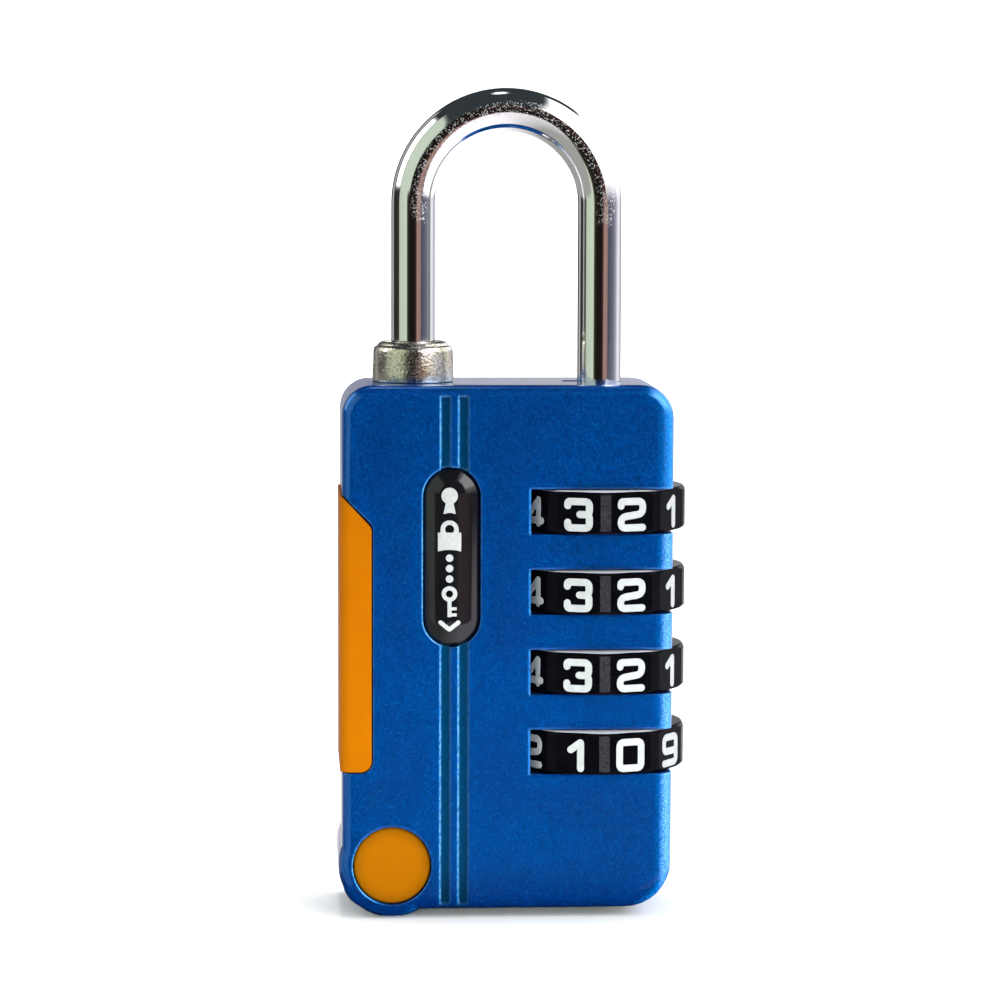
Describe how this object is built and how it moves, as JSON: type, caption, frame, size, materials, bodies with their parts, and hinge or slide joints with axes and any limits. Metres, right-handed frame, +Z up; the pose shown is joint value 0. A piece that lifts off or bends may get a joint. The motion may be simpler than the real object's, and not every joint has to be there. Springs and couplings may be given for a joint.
{
  "type": "combination padlock",
  "caption": "Upright combination padlock with a round steel bar shackle, ten-sided digit dials on the right, a slim blue case, an orange side strip and a round corner cap.",
  "frame": {"origin": "bottom centre of the lock's bounding box, with the shackle closed; the lowest point is the bottom of the round lobe", "axes": "+X to the right as seen from the front with the badge, +Y to the back, +Z up along the shackle legs"},
  "size_m": [0.0318, 0.016, 0.0752],
  "materials": {
    "blue_paint": "glossy metallic lacquer on die-cast zinc",
    "chrome_steel": "bright nickel-chrome plating on hardened steel",
    "cast_zinc": "rough nickel-plated casting",
    "dial_plastic": "satin black moulding with white filled digits",
    "sleeve_brass": "plain turned brass",
    "spring_steel": "plain drawn wire",
    "orange_plastic": "satin orange moulding",
    "badge_plastic": null,
    "adhesive": "thin adhesive film"
  },
  "bodies": {
    "lock_case": {"case": "blue_paint", "toe_collar": "cast_zinc", "side_strip": "orange_plastic", "corner_cap": "orange_plastic", "badge": "badge_plastic", "badge_pad": "adhesive", "bottom_plug": "cast_zinc", "detent_balls": "chrome_steel", "detent_springs": "spring_steel", "shackle_spring": "spring_steel"},
    "shackle_unit": {"shackle": "chrome_steel", "retaining_clip": "spring_steel", "spring_seat": "spring_steel"},
    "dial_unit_1": {"dial_1": "dial_plastic", "cam_1": "sleeve_brass"},
    "dial_unit_2": {"dial_2": "dial_plastic", "cam_2": "sleeve_brass"},
    "dial_unit_3": {"dial_3": "dial_plastic", "cam_3": "sleeve_brass"},
    "dial_unit_4": {"dial_4": "dial_plastic", "cam_4": "sleeve_brass"}
  },
  "joints": [
    {"name": "shackle_slide", "type": "slide", "parent": "lock_case", "child": "shackle_unit", "axis": [0, 0, 1], "range_m": [0, 0.0073], "deforming": ["shackle_spring"]},
    {"name": "dial_1_spin", "type": "hinge", "parent": "lock_case", "child": "dial_unit_1", "pos_m": [0.0081, 0, 0.03715], "axis": [0, 0, 1], "continuous": true},
    {"name": "dial_2_spin", "type": "hinge", "parent": "lock_case", "child": "dial_unit_2", "pos_m": [0.0081, 0, 0.02985], "axis": [0, 0, 1], "continuous": true},
    {"name": "dial_3_spin", "type": "hinge", "parent": "lock_case", "child": "dial_unit_3", "pos_m": [0.0081, 0, 0.02255], "axis": [0, 0, 1], "continuous": true},
    {"name": "dial_4_spin", "type": "hinge", "parent": "lock_case", "child": "dial_unit_4", "pos_m": [0.0081, 0, 0.01525], "axis": [0, 0, 1], "continuous": true}
  ]
}
